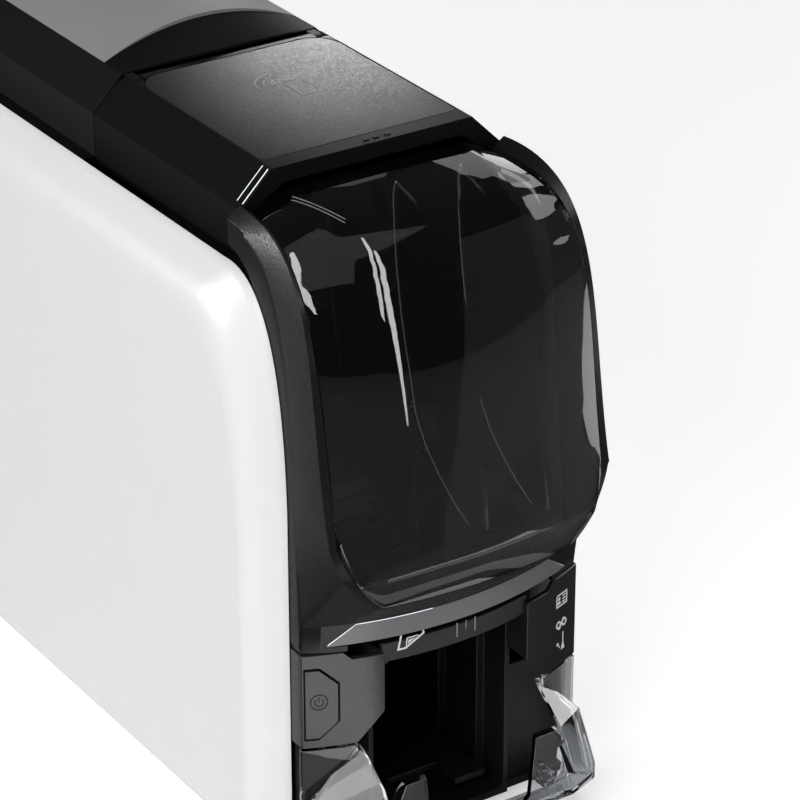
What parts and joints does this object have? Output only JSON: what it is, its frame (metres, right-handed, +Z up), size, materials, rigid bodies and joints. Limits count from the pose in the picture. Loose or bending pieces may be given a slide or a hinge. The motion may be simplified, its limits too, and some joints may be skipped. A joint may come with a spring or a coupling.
{
  "type": "id card printer",
  "caption": "Desktop card printer with a hinged front cover, smoked window, side panels, card bay with a clear pull-down door, ribbon spools and geared rollers.",
  "frame": {"origin": "centre of the footprint, on the surface that the feet stand on", "axes": "+Z up, -Y towards the front with the window and the card bay, +X to the right seen from the front"},
  "size_m": [0.1576, 0.394, 0.3065],
  "materials": {
    "white_abs": "satin moulded ABS",
    "black_abs": "fine spark-textured ABS",
    "charcoal_pad": "grained soft-touch plastic",
    "pale_grey_abs": "fine-textured ABS",
    "smoked_acrylic": "smoked clear polycarbonate",
    "clear_acrylic": "clear tinted polycarbonate",
    "light_guide": "frosted light guide",
    "graphite_abs": "semi-gloss ABS",
    "grey_abs": "moulded ABS",
    "dark_inner": "moulded ABS",
    "zinc_steel": "zinc-plated sheet",
    "platen_rubber": "ground rubber on a steel shaft",
    "acetal": "acetal gears",
    "brass_gear": "machined brass",
    "ribbon_film": "wound ribbon film",
    "foot_rubber": "moulded rubber",
    "board_green": "glass-epoxy board with solder mask"
  },
  "bodies": {
    "chassis": {"base_tray": "black_abs", "rubber_feet": "foot_rubber", "side_panel_left": "white_abs", "side_panel_right": "white_abs", "power_fascia": "graphite_abs", "icon_fascia": "black_abs", "card_hopper": "dark_inner", "card_guide": "grey_abs", "frame_left": "zinc_steel", "frame_right": "zinc_steel", "chamber_wall_left": "dark_inner", "chamber_wall_right": "dark_inner", "rear_housing": "black_abs", "top_cap": "pale_grey_abs", "hinge_pins": "zinc_steel", "circuit_board": "board_green", "feed_motor": "zinc_steel", "power_inlet": "black_abs", "usb_socket": "zinc_steel"},
    "cover": {"cover_bezel": "black_abs", "cover_window": "smoked_acrylic", "light_bar": "light_guide", "cover_deck": "black_abs", "touch_pad": "charcoal_pad", "head_carriage": "grey_abs", "print_head": "zinc_steel"},
    "supply_spool": {"supply_core": "acetal", "supply_ribbon": "ribbon_film"},
    "takeup_spool": {"takeup_core": "acetal", "takeup_ribbon": "ribbon_film"},
    "power_button": {"power_button": "graphite_abs"},
    "bin_door": {"bin_door": "clear_acrylic"},
    "lift_plate": {"lift_plate": "grey_abs"},
    "platen": {"platen_roller": "platen_rubber", "platen_gear": "acetal"},
    "feed": {"feed_roller": "platen_rubber", "feed_gear": "acetal"},
    "idler": {"idler_gear": "acetal"},
    "pinion": {"motor_pinion": "brass_gear"}
  },
  "joints": [
    {"name": "cover_hinge", "type": "hinge", "parent": "chassis", "child": "cover", "pos_m": [0, -0.007, 0.287], "axis": [-1, 0, 0], "range_deg": [0, 58]},
    {"name": "supply_spin", "type": "hinge", "parent": "cover", "child": "supply_spool", "pos_m": [0, -0.038, 0.16], "axis": [1, 0, 0], "continuous": true},
    {"name": "takeup_spin", "type": "hinge", "parent": "cover", "child": "takeup_spool", "pos_m": [0, -0.098, 0.152], "axis": [1, 0, 0], "continuous": true},
    {"name": "button_press", "type": "slide", "parent": "chassis", "child": "power_button", "axis": [0, 1, 0], "range_m": [0, 0.0012], "stiffness_N_per_m": 800},
    {"name": "door_hinge", "type": "hinge", "parent": "chassis", "child": "bin_door", "pos_m": [0, -0.161, 0.01], "axis": [1, 0, 0], "range_deg": [0, 28]},
    {"name": "plate_lift", "type": "slide", "parent": "chassis", "child": "lift_plate", "axis": [0, 0, 1], "range_m": [0, 0.07]},
    {"name": "platen_spin", "type": "hinge", "parent": "chassis", "child": "platen", "pos_m": [0, -0.062, 0.0896], "axis": [1, 0, 0], "continuous": true},
    {"name": "idler_spin", "type": "hinge", "parent": "chassis", "child": "idler", "pos_m": [0, -0.101, 0.09023], "axis": [1, 0, 0], "continuous": true},
    {"name": "feed_spin", "type": "hinge", "parent": "chassis", "child": "feed", "pos_m": [0, -0.128, 0.1074], "axis": [1, 0, 0], "continuous": true},
    {"name": "pinion_spin", "type": "hinge", "parent": "chassis", "child": "pinion", "pos_m": [0, -0.04725, 0.06405], "axis": [1, 0, 0], "continuous": true}
  ],
  "couplings": [
    {"joint": "idler_spin", "follows": "platen_spin", "ratio": -1.2941},
    {"joint": "feed_spin", "follows": "platen_spin", "ratio": 1.4667},
    {"joint": "pinion_spin", "follows": "platen_spin", "ratio": -2.9333}
  ]
}
